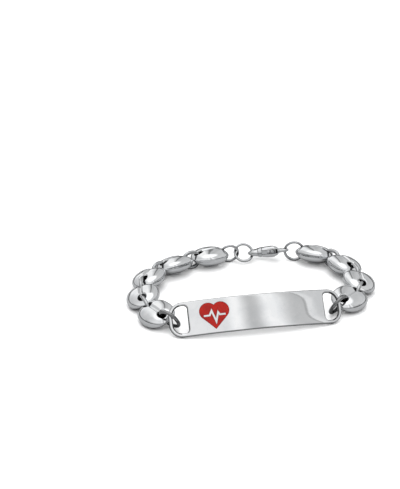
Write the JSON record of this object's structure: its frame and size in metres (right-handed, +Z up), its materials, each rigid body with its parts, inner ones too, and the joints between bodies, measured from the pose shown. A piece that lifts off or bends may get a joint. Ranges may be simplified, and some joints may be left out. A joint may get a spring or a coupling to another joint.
{
  "type": "medical alert bracelet",
  "caption": "Polished steel medical alert bracelet: curved identity plate with a red enamel emblem, puffed oval link chain and a lobster clasp.",
  "frame": {"origin": "on the surface it lies on, under the middle of its box", "axes": "+X along the plate from the emblem's end to the other end, +Y from the plate to the clasp, +Z up"},
  "size_m": [0.0722, 0.0554, 0.0103],
  "materials": {
    "plate_steel": "mirror polished stainless steel",
    "link_steel": "mirror polished stainless steel",
    "ring_steel": "polished stainless steel wire",
    "clasp_steel": "polished stainless steel",
    "lever_steel": "polished stainless steel",
    "enamel": "glossy red enamel"
  },
  "bodies": {
    "bracelet": {"id_plate": "plate_steel", "enamel_heart": "enamel", "puffed_link_1": "link_steel", "puffed_link_2": "link_steel", "puffed_link_3": "link_steel", "puffed_link_4": "link_steel", "puffed_link_5": "link_steel", "puffed_link_6": "link_steel", "puffed_link_7": "link_steel", "puffed_link_8": "link_steel", "puffed_link_9": "link_steel", "connector_ring_1": "ring_steel", "connector_ring_2": "ring_steel", "connector_ring_3": "ring_steel", "connector_ring_4": "ring_steel", "connector_ring_5": "ring_steel", "connector_ring_6": "ring_steel", "connector_ring_7": "ring_steel", "connector_ring_8": "ring_steel", "connector_ring_9": "ring_steel", "jump_ring_1": "ring_steel", "jump_ring_2": "ring_steel", "jump_ring_3": "ring_steel", "clasp_body": "clasp_steel"},
    "lever": {"clasp_lever": "lever_steel"}
  },
  "joints": [
    {"name": "clasp_lever_hinge", "type": "hinge", "parent": "bracelet", "child": "lever", "pos_m": [0.00751, 0.02333, 0.00351], "axis": [0.0868, -0.3375, -0.9373], "range_deg": [0, 18], "stiffness_Nm_per_rad": 0.0005, "springref_deg": -8.59}
  ]
}
